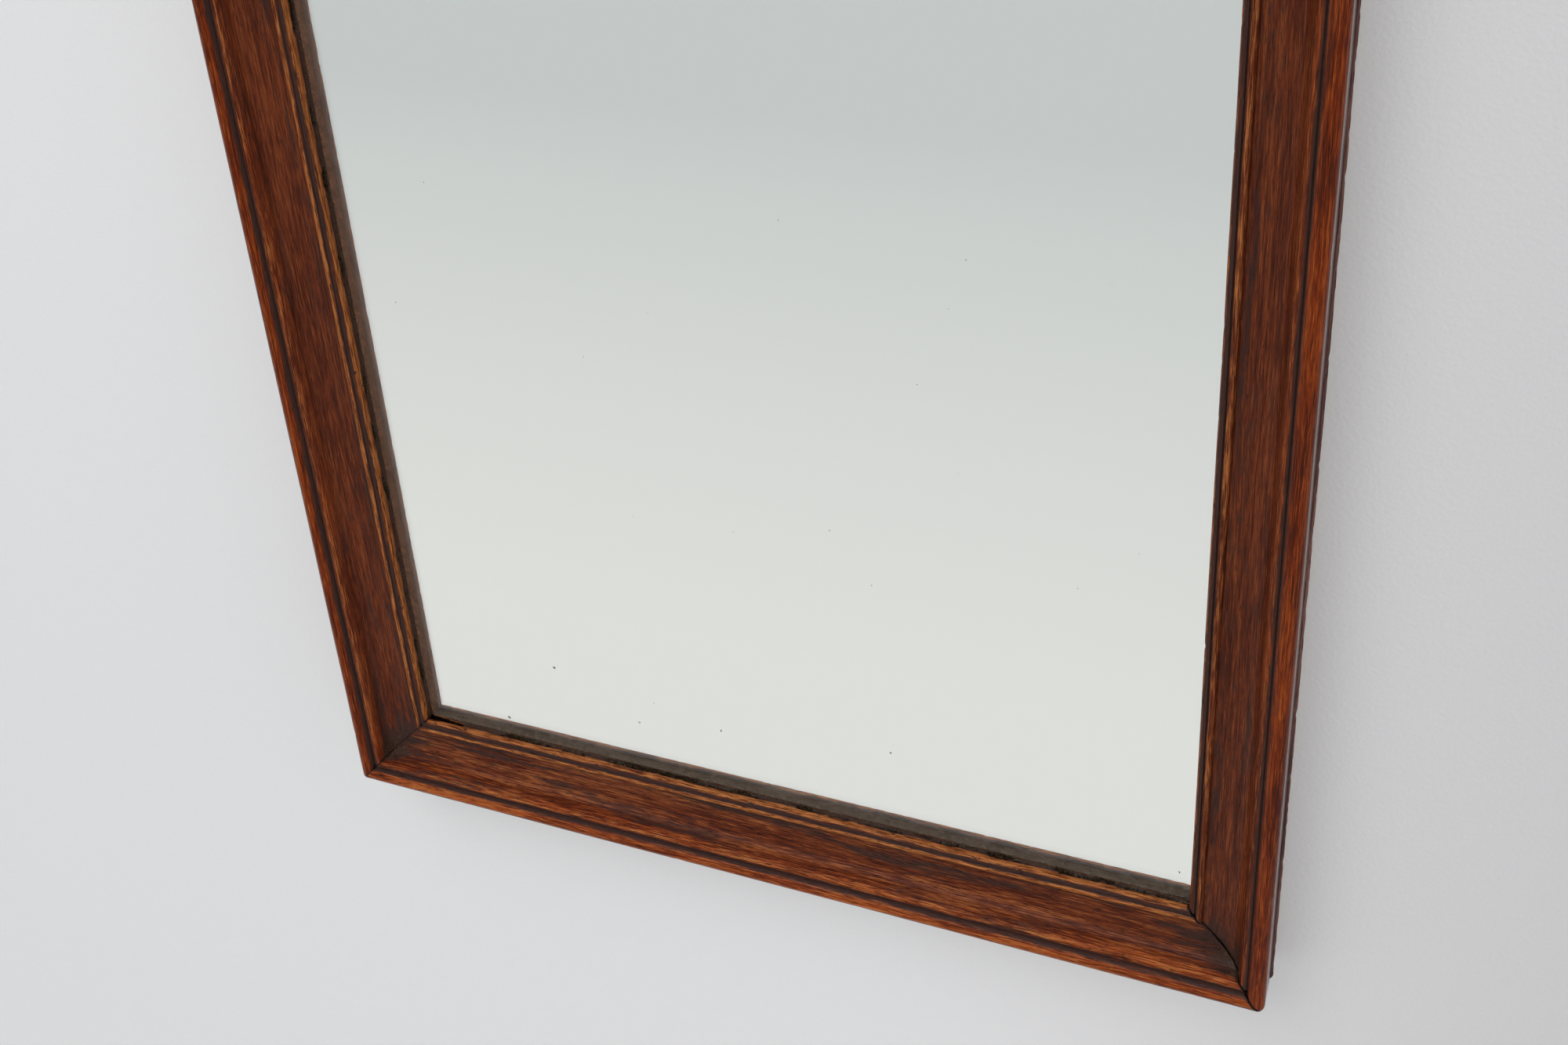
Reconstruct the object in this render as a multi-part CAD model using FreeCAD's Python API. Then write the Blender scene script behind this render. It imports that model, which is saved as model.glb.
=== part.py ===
"""Wall mirror in a heavy moulded oak frame.

Millimetres. X runs to the right, Y into the wall, Z up. The back of the frame lies in the plane y = 0 and
the glass faces -Y. The origin lies on that plane, midway between the two points where wall hooks carry the
hanger rings. A front moulding, mitred at the corners, is planted on a plainer back frame. The back frame is
set back from the sight edge, so its stepped inner edge makes the rebates for the glass and the backboards.
"""
import FreeCAD, Part
import math
import os

# Whole frame
frame_width = 600.0
frame_height = 900.0
corner_round = 3.5  # worn outer corners
hang_drop = 160.0  # top of the frame down to the hook points
open_mitre = 0.9  # the bottom right mitre has opened, the other three are tight

# Front moulding, listed from the sight edge outwards: widths, rises and the depth of each curve
sight_lip = 5.0  # edge of the sight bead above the glass
bead_width = 3.4
bead_rise = 4.4
bead_round = 1.2
groove_width = 1.0
groove_depth = 0.7
fillet_width = 3.4
fillet_round = 0.9
fillet_lean = 0.6
fillet_drop = 1.7
face_width = 18.2
face_rise = 2.3
hollow_depth = 1.4
cove_width = 5.0
cove_rise = 6.8
cove_depth = 1.0
riser_width = 1.8
riser_rise = 3.8
ridge_width = 1.8
ridge_rise = 1.3
ridge_round = 0.3
step_width = 2.2
step_rise = 0.3
quirk_width = 0.5
quirk_depth = 0.4
swell_width = 5.7  # inner half of the nosing
swell_rise = 5.0
swell_round = 1.2
nosing_width = 4.4  # outer half of the nosing
nosing_drop = 7.8
nosing_round = 2.0
side_lean = 1.6  # the outer side draws in towards the back
under_rise = 4.0  # foot of that side above the back frame
under_inset = 1.8
under_round = 0.6

# Back frame
back_inset = 2.8  # its back edge, in from the widest line of the moulding
back_round = 1.9
glass_rebate = 10.0  # from the sight edge
ledge_width = 10.0  # carries the backboards

# Glass and backboards
glass_thickness = 4.0
glass_clear = 1.5  # round the edge of the glass, taken up by packers
silver_thickness = 0.1
packer_length = 40.0
packer_count = 2  # per side
board_names = ("left", "middle", "right")
board_thickness = 5.0
board_gap = 0.4  # silvering to boards
board_joint = 0.6  # between boards
board_clear = 1.0  # round the edge of the boards
board_recess = 1.5  # boards below the back of the frame
board_chamfer = 0.8

# Fasteners
tongue_thickness = 4.0
tongue_width = 20.0  # across the mitre
tongue_reach = 15.0  # measured square to the frame's edge
tongue_margin = 11.0  # from the outer edge
tongue_floor = 1.5  # above the back frame
pin_radius = 0.75
pin_length = 12.0
pin_tip = 1.5
pin_head_radius = 1.6
pin_head_height = 0.6
pins_per_board_end = 3
pins_per_side = 4
pin_edge = 25.0  # outer pins from the edge of their board
screw_radius = 1.75
screw_length = 25.0
screw_tip = 4.0
screw_head_radius = 3.4
screw_head_height = 2.0
screw_sink = 0.2
screw_slot_width = 0.8
screw_slot_depth = 0.9
screw_end = 70.0  # end screws from the outer ends of a member

# Hangers
strap_width = 16.0
strap_length = 54.0
strap_thickness = 1.6
ring_wire_radius = 1.6
ring_clear = 0.15  # bar to knuckle
ring_side_clear = 0.5
ring_bend = 3.0
ring_leg = 4.0
hanger_screw_length = 16.0
hanger_screw_first = 15.0  # from the knuckle's axis
hanger_screw_pitch = 26.0
hanger_screw_head_height = 1.7
hanger_screw_dome = 0.6
hanger_screw_clear = 0.2

# Worked out from the sizes above
inner_width = bead_width + groove_width + fillet_width + fillet_lean + face_width
outer_width = cove_width + riser_width + ridge_width + step_width + quirk_width + swell_width + nosing_width
moulding_width = inner_width + outer_width
sight_width = frame_width - 2 * moulding_width
sight_height = frame_height - 2 * moulding_width
board_count = len(board_names)
glass_pocket = glass_thickness + silver_thickness + board_gap
back_thickness = glass_pocket + board_thickness + board_recess
ledge_height = back_thickness - glass_pocket
board_rebate = glass_rebate + ledge_width
back_land = (board_rebate + moulding_width - back_inset) / 2  # middle of the flat back
centre_z = hang_drop - frame_height / 2
knuckle_radius = ring_wire_radius + ring_clear + strap_thickness
ring_half_width = strap_width / 2 + ring_side_clear + ring_bend
knuckle_z = -(ring_bend + ring_leg + ring_half_width - ring_wire_radius)
hanger_x = sight_width / 2 + back_land
open_ends = {("right", "low"), ("bottom", "high")}

# side: turn about Y, distance of its sight edge from the centre, length of its sight edge
sides = {
    "right": (0, sight_width / 2, sight_height),
    "bottom": (90, sight_height / 2, sight_width),
    "left": (180, sight_width / 2, sight_height),
    "top": (270, sight_height / 2, sight_width),
}


def vec(x, y, z):
    return FreeCAD.Vector(x, y, z)


def section(start, moves):
    """Closed face through (out, height) points; a move with a bulge is an arc that swells to its left."""
    edges = []
    here = start
    for end, bulge in moves + [(start, 0)]:
        a = vec(here[0], -here[1], 0)
        b = vec(end[0], -end[1], 0)
        if bulge:
            run = math.hypot(end[0] - here[0], end[1] - here[1])
            out = (here[0] + end[0]) / 2 - bulge * (end[1] - here[1]) / run
            height = (here[1] + end[1]) / 2 + bulge * (end[0] - here[0]) / run
            edges.append(Part.Arc(a, vec(out, -height, 0), b).toShape())
        else:
            edges.append(Part.LineSegment(a, b).toShape())
        here = end
    return Part.Face(Part.Wire(edges))


def walk(start, steps):
    """Turns (out step, height step, bulge) into the moves of a section."""
    moves = []
    out, height = start
    for step_out, step_height, bulge in steps:
        out += step_out
        height += step_height
        moves.append(((out, height), bulge))
    return moves


def front_section():
    start = (0, back_thickness)
    steps = [
        (0, sight_lip, 0),
        (bead_width, bead_rise, bead_round),
        (groove_width / 2, -groove_depth, 0),
        (groove_width / 2, groove_depth, 0),
        (fillet_width, 0, fillet_round),
        (fillet_lean, -fillet_drop, 0),
        (face_width, face_rise, -hollow_depth),
        (cove_width, cove_rise, -cove_depth),
        (riser_width, riser_rise, 0),
        (ridge_width, ridge_rise, ridge_round),
        (step_width, step_rise, 0),
        (quirk_width, -quirk_depth, 0),
        (swell_width, swell_rise, swell_round),
        (nosing_width, -nosing_drop, nosing_round),
    ]
    moves = walk(start, steps)
    foot = (moulding_width - side_lean, back_thickness + under_rise)
    moves.append((foot, 0))
    moves.append(((foot[0] - under_inset, back_thickness), under_round))
    return section(start, moves)


def back_section():
    start = (moulding_width - side_lean - under_inset, back_thickness)
    moves = [
        ((moulding_width - back_inset, 0), back_round),
        ((board_rebate, 0), 0),
        ((board_rebate, ledge_height), 0),
        ((glass_rebate, ledge_height), 0),
        ((glass_rebate, back_thickness), 0),
    ]
    return section(start, moves)


def place(shape, side):
    """Carries a shape made for a member at x = 0, running along Z, to its side of the frame."""
    turn, distance, _ = sides[side]
    placed = shape.copy()
    placed.translate(vec(distance, 0, 0))
    placed.rotate(vec(0, 0, 0), vec(0, 1, 0), turn)
    placed.translate(vec(0, 0, centre_z))
    return placed


def box(low, high):
    return Part.makeBox(high[0] - low[0], high[1] - low[1], high[2] - low[2], vec(*low))


def rounded_outline(depth):
    """Prism of the whole frame's outline with its worn corners, as deep as a member."""
    low = vec(-frame_width / 2, -depth, centre_z - frame_height / 2)
    blank = Part.makeBox(frame_width, depth, frame_height, low)
    upright = [edge for edge in blank.Edges if edge.BoundBox.YLength > depth / 2]
    return blank.makeFillet(corner_round, upright)


def mitred(face, side, opened):
    """Runs a section along one side of the frame and cuts its mitres; the opened ends stand off."""
    half_sight = sides[side][2] / 2
    half_outer = half_sight + moulding_width
    low_gap = open_mitre / math.sqrt(2) if (side, "low") in opened else 0
    high_gap = open_mitre / math.sqrt(2) if (side, "high") in opened else 0
    bar = face.translated(vec(0, 0, -half_outer)).extrude(vec(0, 0, 2 * half_outer))
    depth = -bar.BoundBox.YMin
    corners = [
        vec(0, 0, low_gap - half_sight),
        vec(moulding_width, 0, low_gap - half_outer),
        vec(moulding_width, 0, half_outer - high_gap),
        vec(0, 0, half_sight - high_gap),
    ]
    blank = Part.Face(Part.makePolygon(corners + corners[:1])).extrude(vec(0, -depth, 0))
    return place(bar.common(blank), side).common(rounded_outline(depth))


def turned(start, moves):
    """Solid of revolution about Y through (radius, depth) points."""
    return section(start, moves).revolve(vec(0, 0, 0), vec(0, 1, 0), 360)


def screw(head, length):
    """Screw that points along -Y with the top of its head at y = 0, and the cutter of its slot."""
    moves = head + [((screw_radius, length - screw_tip), 0), ((0, length), 0)]
    slot = box((-screw_head_radius, -screw_slot_depth, -screw_slot_width / 2),
               (screw_head_radius, 0, screw_slot_width / 2))
    return turned((0, 0), moves), slot


def frame_screw_seats(side):
    reach = sides[side][2] / 2 + moulding_width - screw_end
    return [vec(back_land, -screw_sink, along) for along in (-reach, 0, reach)]


def frame_screws(side):
    """Countersunk screws that hold a back frame member to the front moulding: whole solids and slots."""
    head = [((screw_head_radius, 0), 0), ((screw_radius, screw_head_height), 0)]
    solid, slot = screw(head, screw_length)
    seats = frame_screw_seats(side)
    wholes = [place(solid.translated(seat), side) for seat in seats]
    return wholes, [place(slot.translated(seat), side) for seat in seats]


def sunk_mouths(side):
    """Clear holes above the sunk heads of the frame screws."""
    mouth = Part.makeCylinder(screw_head_radius, screw_sink, vec(0, 0, 0), vec(0, 1, 0))
    return [place(mouth.translated(seat), side) for seat in frame_screw_seats(side)]


def corner_tongue(corner):
    """Loose tongue across the mitre of one corner, made for the bottom right one and mirrored from it."""
    reach = tongue_reach * math.sqrt(2)
    top = back_thickness + tongue_floor + tongue_thickness
    bar = box((-reach / 2, -top, -tongue_width / 2), (reach / 2, tongue_thickness - top, tongue_width / 2))
    middle = moulding_width - tongue_margin - tongue_reach / 2
    across = sight_width / 2 + middle
    down = sight_height / 2 + middle
    bar.rotate(vec(0, 0, 0), vec(0, 1, 0), 45)
    bar.translate(vec(across, 0, -down))
    if corner in ("bottom_left", "top_left"):
        bar = bar.mirror(vec(0, 0, 0), vec(1, 0, 0))
    if corner in ("top_left", "top_right"):
        bar = bar.mirror(vec(0, 0, 0), vec(0, 0, 1))
    bar.translate(vec(0, 0, centre_z))
    return bar


def panel_pin(x, z):
    """Flat headed pin driven through a backboard into the ledge behind it."""
    moves = [
        ((pin_head_radius, -pin_head_height), 0),
        ((pin_head_radius, 0), 0),
        ((pin_radius, 0), 0),
        ((pin_radius, pin_length - pin_tip), 0),
        ((0, pin_length), 0),
    ]
    return turned((0, -pin_head_height), moves).translated(vec(x, -board_recess, z))


def board_span():
    """Width of one board and the height of all of them."""
    total = sight_width + 2 * (board_rebate - board_clear)
    width = (total - (board_count - 1) * board_joint) / board_count
    return width, sight_height + 2 * (board_rebate - board_clear)


def board_left(index):
    width, _ = board_span()
    first = -(sight_width / 2 + board_rebate - board_clear)
    return first + index * (width + board_joint)


def backboard(index):
    """One upright board with its two long back edges chamfered."""
    width, height = board_span()
    left = board_left(index)
    right = left + width
    moves = [
        ((right, ledge_height), 0),
        ((right, board_recess + board_chamfer), 0),
        ((right - board_chamfer, board_recess), 0),
        ((left + board_chamfer, board_recess), 0),
        ((left, board_recess + board_chamfer), 0),
    ]
    face = section((left, ledge_height), moves)
    return face.translated(vec(0, 0, centre_z - height / 2)).extrude(vec(0, 0, height))


def board_pins(side):
    """Panel pins along one side of the backboards."""
    width, _ = board_span()
    ledge = glass_rebate + ledge_width / 2
    if side in ("top", "bottom"):
        sign = 1 if side == "top" else -1
        z = centre_z + sign * (sight_height / 2 + ledge)
        pitch = (width - 2 * pin_edge) / (pins_per_board_end - 1)
        starts = [board_left(i) + pin_edge for i in range(board_count)]
        return [panel_pin(x + k * pitch, z) for x in starts for k in range(pins_per_board_end)]
    sign = 1 if side == "right" else -1
    x = sign * (sight_width / 2 + ledge)
    pitch = sight_height / pins_per_side
    return [panel_pin(x, centre_z - sight_height / 2 + (k + 0.5) * pitch) for k in range(pins_per_side)]


def glass_sheet(front, thickness):
    half_width = sight_width / 2 + glass_rebate - glass_clear
    half_height = sight_height / 2 + glass_rebate - glass_clear
    return box((-half_width, -front, centre_z - half_height),
               (half_width, thickness - front, centre_z + half_height))


def glass_packers(side):
    """Thin softwood slips between the edge of the glass and the back frame."""
    pitch = sides[side][2] / packer_count
    slip = box((glass_rebate - glass_clear, -back_thickness, -packer_length / 2),
               (glass_rebate, glass_thickness - back_thickness, packer_length / 2))
    middles = [(k + 0.5 - packer_count / 2) * pitch for k in range(packer_count)]
    return [place(slip.translated(vec(0, 0, along)), side) for along in middles]


def hanger_strap(x):
    """Strap rolled into a knuckle round the ring's bar, screwed flat on the back of a stile."""
    half = strap_width / 2
    low = knuckle_z - strap_length
    plate = box((x - half, 0, low + half), (x + half, strap_thickness, knuckle_z))
    plate = plate.fuse(Part.makeCylinder(half, strap_thickness, vec(x, 0, low + half), vec(0, 1, 0)))
    axis = vec(x - half, knuckle_radius, knuckle_z)
    barrel = Part.makeCylinder(knuckle_radius, strap_width, axis, vec(1, 0, 0))
    bore = Part.makeCylinder(knuckle_radius - strap_thickness, strap_width, axis, vec(1, 0, 0))
    strap = plate.fuse(barrel).cut(bore)
    for z in hanger_screw_heights():
        radius = screw_radius + hanger_screw_clear
        strap = strap.cut(Part.makeCylinder(radius, strap_thickness, vec(x, 0, z), vec(0, 1, 0)))
    return strap.removeSplitter()


def hanger_ring(x):
    """Closed ring: a straight bar in the knuckle, two bends, two short legs and a round bow above."""
    r = ring_wire_radius
    y = knuckle_radius
    bar_half = ring_half_width - ring_bend
    bend_z = knuckle_z + ring_bend
    bow_z = bend_z + ring_leg
    ring = Part.makeCylinder(r, 2 * bar_half, vec(x - bar_half, y, knuckle_z), vec(1, 0, 0))
    for sign in (-1, 1):
        bend = Part.makeTorus(ring_bend, r, vec(0, 0, 0), vec(0, 0, 1), -180, 180, 90)
        bend.rotate(vec(0, 0, 0), vec(1, 0, 0), 90)
        bend.rotate(vec(0, 0, 0), vec(0, 1, 0), 90 if sign > 0 else 180)
        bend.translate(vec(x + sign * bar_half, y, bend_z))
        leg = Part.makeCylinder(r, ring_leg, vec(x + sign * ring_half_width, y, bend_z), vec(0, 0, 1))
        ring = ring.fuse(bend).fuse(leg)
    bow = Part.makeTorus(ring_half_width, r, vec(0, 0, 0), vec(0, 0, 1), -180, 180, 180)
    bow.rotate(vec(0, 0, 0), vec(1, 0, 0), 90)
    bow.translate(vec(x, y, bow_z))
    return ring.fuse(bow).removeSplitter()


def hanger_screw_heights():
    first = knuckle_z - hanger_screw_first
    return first, first - hanger_screw_pitch


def hanger_screws(x):
    """Dome headed screws of one strap: whole solids and slots."""
    height = hanger_screw_head_height
    head = [((screw_head_radius, height), -hanger_screw_dome), ((screw_radius, height), 0)]
    solid, slot = screw(head, hanger_screw_length + strap_thickness + height)
    seats = [vec(x, strap_thickness + height, z) for z in hanger_screw_heights()]
    return [solid.translated(seat) for seat in seats], [slot.translated(seat) for seat in seats]


def slotted(wholes, slots):
    return [whole.cut(slot) for whole, slot in zip(wholes, slots)]


def drilled(shape, tools):
    for tool in tools:
        if shape.BoundBox.intersect(tool.BoundBox):
            shape = shape.cut(tool)
    return shape


def build():
    """Every piece of the mirror by name, each a solid or a list of like solids."""
    pieces = {}
    corners = ("bottom_left", "bottom_right", "top_left", "top_right")
    tongues = {corner: corner_tongue(corner) for corner in corners}
    hangers = {"left": -hanger_x, "right": hanger_x}
    held = list(tongues.values())
    pins, mouths = [], []
    for side in sides:
        wholes, slots = frame_screws(side)
        pieces[side + "_frame_screws"] = slotted(wholes, slots)
        pieces[side + "_board_pins"] = board_pins(side)
        pieces[side + "_glass_packers"] = glass_packers(side)
        held += wholes
        pins += pieces[side + "_board_pins"]
        mouths += sunk_mouths(side)
    for side, x in hangers.items():
        wholes, slots = hanger_screws(x)
        pieces[side + "_hanger_screws"] = slotted(wholes, slots)
        pieces[side + "_hanger_strap"] = hanger_strap(x)
        pieces[side + "_hanger_ring"] = hanger_ring(x)
        held += wholes
    for side in sides:
        pieces[side + "_moulding"] = drilled(mitred(front_section(), side, open_ends), held + pins)
        pieces[side + "_back_member"] = drilled(mitred(back_section(), side, ()), held + pins + mouths)
    for corner in corners:
        pieces[corner + "_tongue"] = tongues[corner]
    for index, name in enumerate(board_names):
        pieces[name + "_backboard"] = drilled(backboard(index), pins)
    pieces["mirror_glass"] = glass_sheet(back_thickness, glass_thickness)
    pieces["silvering"] = glass_sheet(back_thickness - glass_thickness, silver_thickness)
    return pieces


def write(pieces):
    os.makedirs("parts", exist_ok=True)
    for name, piece in sorted(pieces.items()):
        shape = Part.makeCompound(piece) if isinstance(piece, list) else piece
        shape.exportStep("parts/" + name + ".step")
        state = "valid" if shape.isValid() else "INVALID"
        print(name, len(shape.Solids), "solids", round(shape.Volume), "mm3", state)


write(build())
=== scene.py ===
# %% [markdown]
# # A wall mirror in a moulded oak frame
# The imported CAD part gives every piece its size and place. This lesson loads it as a fixed frame, puts
# finishes on the pieces whose shape is already right, and models the worn ones anew: the mouldings, the
# glass, the backboards and the outer edge of the back frame.

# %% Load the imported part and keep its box
import math

import bmesh
import bpy
from mathutils import Matrix, Vector, noise


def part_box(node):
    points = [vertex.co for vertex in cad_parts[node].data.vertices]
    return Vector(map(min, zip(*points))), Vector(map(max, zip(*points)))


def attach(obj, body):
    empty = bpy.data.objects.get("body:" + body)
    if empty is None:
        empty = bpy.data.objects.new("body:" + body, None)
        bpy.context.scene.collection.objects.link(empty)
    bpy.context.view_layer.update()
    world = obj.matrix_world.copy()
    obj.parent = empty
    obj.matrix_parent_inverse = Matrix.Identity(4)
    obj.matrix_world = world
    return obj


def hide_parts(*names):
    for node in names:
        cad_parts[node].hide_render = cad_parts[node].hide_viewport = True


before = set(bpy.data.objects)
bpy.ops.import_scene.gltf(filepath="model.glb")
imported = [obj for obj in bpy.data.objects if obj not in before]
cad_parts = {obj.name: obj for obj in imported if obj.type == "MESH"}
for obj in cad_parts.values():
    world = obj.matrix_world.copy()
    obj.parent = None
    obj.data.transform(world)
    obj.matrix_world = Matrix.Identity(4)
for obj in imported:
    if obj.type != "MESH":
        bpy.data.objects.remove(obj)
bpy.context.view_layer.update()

MM = 0.001
scene = bpy.context.scene
scene.view_settings.view_transform = "Standard"

# %% [markdown]
# ## Two helpers
# Colours are written as sRGB hex values, as a colour picker shows them, while shaders reckon in linear
# light, so one function turns one into the other. A second adds a shader node, sets its options and feeds
# its sockets with values or links, which keeps each finish readable as a list.

# %% Colour and node helpers
def linear(hex_code):
    channels = [int(hex_code[i:i + 2], 16) / 255 for i in (1, 3, 5)]
    return [c / 12.92 if c <= 0.04045 else ((c + 0.055) / 1.055) ** 2.4 for c in channels] + [1]


def add_node(tree, kind, feeds=None, **settings):
    made = tree.nodes.new(kind)
    for name, value in settings.items():
        setattr(made, name, value)
    for socket, value in (feeds or {}).items():
        if isinstance(value, bpy.types.NodeSocket):
            tree.links.new(value, made.inputs[socket])
        else:
            made.inputs[socket].default_value = value
    return made


def new_finish(name):
    material = bpy.data.materials.new(name)
    material.use_nodes = True
    material.node_tree.nodes.clear()
    return material, material.node_tree


# sockets of a Mix node that is set to colour
FACTOR, COLOUR_A, COLOUR_B, COLOUR_OUT = 0, 6, 7, 2
print("sRGB #808080 is", round(linear("#808080")[0], 3), "in linear light")

# %% [markdown]
# ## Camera
# The photograph looks down on the lower half of the mirror from the right. Its lines of perspective give
# the focal length in pixels, the place of the lens and its three angles, so the camera is set from those
# numbers and needs no shift.

# %% Set the camera
PHOTO_WIDTH = 2000
FOCAL_PIXELS = 2525
SENSOR_WIDTH = 36
LENS_PLACE = Vector((432.4, -840.5, 80.0)) * MM
azimuth, pitch, roll = (math.radians(angle) for angle in (26.70, 31.60, -4.25))

level = Vector((math.cos(azimuth), math.sin(azimuth), 0))
ahead = Vector((-math.sin(azimuth) * math.cos(pitch), math.cos(azimuth) * math.cos(pitch),
                -math.sin(pitch)))
rise = level.cross(ahead)
right = math.cos(roll) * level + math.sin(roll) * rise
up = math.cos(roll) * rise - math.sin(roll) * level

lens = bpy.data.cameras.new("photograph_lens")
lens.sensor_fit = "HORIZONTAL"
lens.sensor_width = SENSOR_WIDTH
lens.lens = SENSOR_WIDTH * FOCAL_PIXELS / PHOTO_WIDTH
lens.clip_start = 0.01
camera = bpy.data.objects.new("photograph_camera", lens)
camera.matrix_world = Matrix.Translation(LENS_PLACE) @ Matrix((right, up, -ahead)).transposed().to_4x4()
scene.collection.objects.link(camera)
scene.camera = camera
print("lens", round(lens.lens, 2), "mm at", [round(c, 3) for c in LENS_PLACE])

# %% [markdown]
# ## Wall paint
# The mirror hangs on a plain wall, painted with a roller. A photograph of a wall could be laid on it, but
# would bring its own light and shadows. So the paint is a grey that darkens to the right, as painted shade,
# and glows faintly, as painted light, with noise for its stipple. It is clear from behind, so that the back
# of the frame can be looked at from the other side.

# %% Paint the wall
STIPPLE = 2.5
WALL_GLOW, GLOW_BESIDE = 0.3, 0.06

# Matt emulsion, put on with a roller: no shine, and a fine stipple. It greys a little to the right, away
# from the window, as painted shade. It glows faintly in place of the light that a whole room would send
# back to it, as painted light.
wall_paint, tree = new_finish("matt_emulsion_wall")
place = add_node(tree, "ShaderNodeSeparateXYZ", {0: add_node(tree, "ShaderNodeTexCoord").outputs["Object"]})
painted_shade_to_right = add_node(tree, "ShaderNodeMapRange", {0: place.outputs["X"], 1: 0.0, 2: 0.5},
                    interpolation_type="SMOOTHSTEP")
paint = add_node(tree, "ShaderNodeMix", {FACTOR: painted_shade_to_right.outputs[0], COLOUR_A: linear("#c2c2c3"),
                                         COLOUR_B: linear("#adacad")}, data_type="RGBA").outputs[COLOUR_OUT]
roller = add_node(tree, "ShaderNodeTexNoise", {
    "Vector": add_node(tree, "ShaderNodeTexCoord").outputs["Object"], "Scale": 1 / (STIPPLE * MM),
    "Detail": 2})
stipple = add_node(tree, "ShaderNodeBump", {"Strength": 0.5, "Distance": 0.6 * MM,
                                            "Height": roller.outputs[0]})
# painted light: the glow rises towards the frame's right edge and lightens the frame's shadow on the wall
glow_beside_frame = add_node(tree, "ShaderNodeMapRange", {0: place.outputs["X"], 1: 0.0, 2: 0.3, 3: 0.0,
                                                4: GLOW_BESIDE}, interpolation_type="SMOOTHSTEP")
leaving = add_node(tree, "ShaderNodeMapRange", {0: place.outputs["X"], 1: 0.3, 2: 0.8, 3: 1.0, 4: 0.0},
                   interpolation_type="SMOOTHSTEP")
painted_glow = add_node(tree, "ShaderNodeMath", {0: glow_beside_frame.outputs[0], 1: leaving.outputs[0], 2: WALL_GLOW},
                operation="MULTIPLY_ADD")
front = add_node(tree, "ShaderNodeBsdfPrincipled", {
    "Normal": stipple.outputs[0], "Base Color": paint, "Roughness": 0.9, "Specular IOR Level": 0.2,
    "Emission Color": paint, "Emission Strength": painted_glow.outputs[0]})
clear = add_node(tree, "ShaderNodeBsdfTransparent")
facing = add_node(tree, "ShaderNodeNewGeometry")
sided = add_node(tree, "ShaderNodeMixShader", {0: facing.outputs["Backfacing"], 1: front.outputs[0],
                                               2: clear.outputs[0]})
add_node(tree, "ShaderNodeOutputMaterial", {"Surface": sided.outputs[0]})
print(wall_paint.name, "has a stipple of", STIPPLE, "mm")

# %% [markdown]
# ## Wall
# One plane would do for the wall, but it would shut out the light behind the frame, which the other views
# need. So the plane is cut along four lines and the part that the mirror hides is taken out. The wall
# doesn't darken the frame: it casts no shadow, and sends no light of its own back.

# %% Model the wall
def link_mesh(name, bm, *finishes):
    mesh = bpy.data.meshes.new(name)
    bm.to_mesh(mesh)
    bm.free()
    made = bpy.data.objects.new(name, mesh)
    scene.collection.objects.link(made)
    for finish in finishes:
        mesh.materials.append(finish)
    return made


WALL_Y = 0.0068
WALL_REACH = 4.0
OPENING_X, OPENING_LOW, OPENING_HIGH = 0.291, -0.728, 0.148

bm = bmesh.new()
bmesh.ops.create_grid(bm, x_segments=1, y_segments=1, size=WALL_REACH)
bmesh.ops.rotate(bm, verts=bm.verts, cent=(0, 0, 0), matrix=Matrix.Rotation(math.radians(90), 3, "X"))
bmesh.ops.translate(bm, verts=bm.verts, vec=(0, WALL_Y, 0))
cuts = [((OPENING_X, 0, 0), (1, 0, 0)), ((-OPENING_X, 0, 0), (1, 0, 0)),
        ((0, 0, OPENING_LOW), (0, 0, 1)), ((0, 0, OPENING_HIGH), (0, 0, 1))]
for point, across in cuts:
    bmesh.ops.bisect_plane(bm, geom=bm.verts[:] + bm.edges[:] + bm.faces[:], plane_co=point,
                           plane_no=across)
behind = [f for f in bm.faces if abs(f.calc_center_median().x) < OPENING_X
          and OPENING_LOW < f.calc_center_median().z < OPENING_HIGH]
bmesh.ops.delete(bm, geom=behind, context="FACES")
wall = link_mesh("wall", bm, wall_paint)
wall.visible_shadow = False
wall.visible_diffuse = False
wall_faces = wall.data.polygons
print("wall faces the room:", [round(c) for c in wall_faces[0].normal], "with", len(wall_faces), "faces")

# %% [markdown]
# ## Floor
# The floor is out of the camera's view, and is what the glass reflects. A whole room could be built for
# that, but the photograph shows only soft greys in the glass. So one plane carries a ramp of those greys
# for mirrored rays, and its far edges fade into one room colour, which leaves no horizon.

# %% Lay the floor
FLOOR_Z = -1.30
ROOM = "#ced1d3"

# A pale painted floor, dull and even. For mirrored rays it glows instead, as painted light: a soft ramp
# from bright, near the wall, to the room colour, which the glass shows.
floor_paint, tree = new_finish("pale_painted_floor")
surface = add_node(tree, "ShaderNodeBsdfPrincipled", {"Base Color": linear("#dcdedb"), "Roughness": 0.8,
                                                      "Specular IOR Level": 0.2})
place = add_node(tree, "ShaderNodeSeparateXYZ", {0: add_node(tree, "ShaderNodeTexCoord").outputs["Object"]})
away = add_node(tree, "ShaderNodeMapRange", {0: place.outputs["Y"], 1: -0.9, 2: -2.6})
room = add_node(tree, "ShaderNodeValToRGB", {0: away.outputs[0]})
room.color_ramp.elements[0].color = linear("#eae9e8")
room.color_ramp.elements[1].color = linear(ROOM)
mirrored = add_node(tree, "ShaderNodeEmission", {"Color": room.outputs[0], "Strength": 1})
ray = add_node(tree, "ShaderNodeLightPath")
bounced = add_node(tree, "ShaderNodeMath", {0: ray.outputs["Is Glossy Ray"],
                                            1: ray.outputs["Is Transmission Ray"]}, operation="MAXIMUM")
reach = add_node(tree, "ShaderNodeVectorMath", {0: add_node(tree, "ShaderNodeTexCoord").outputs["Object"]},
                 operation="LENGTH")
haze = add_node(tree, "ShaderNodeMapRange", {0: reach.outputs["Value"], 1: 1.8, 2: 4.5},
                interpolation_type="SMOOTHSTEP")
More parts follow.
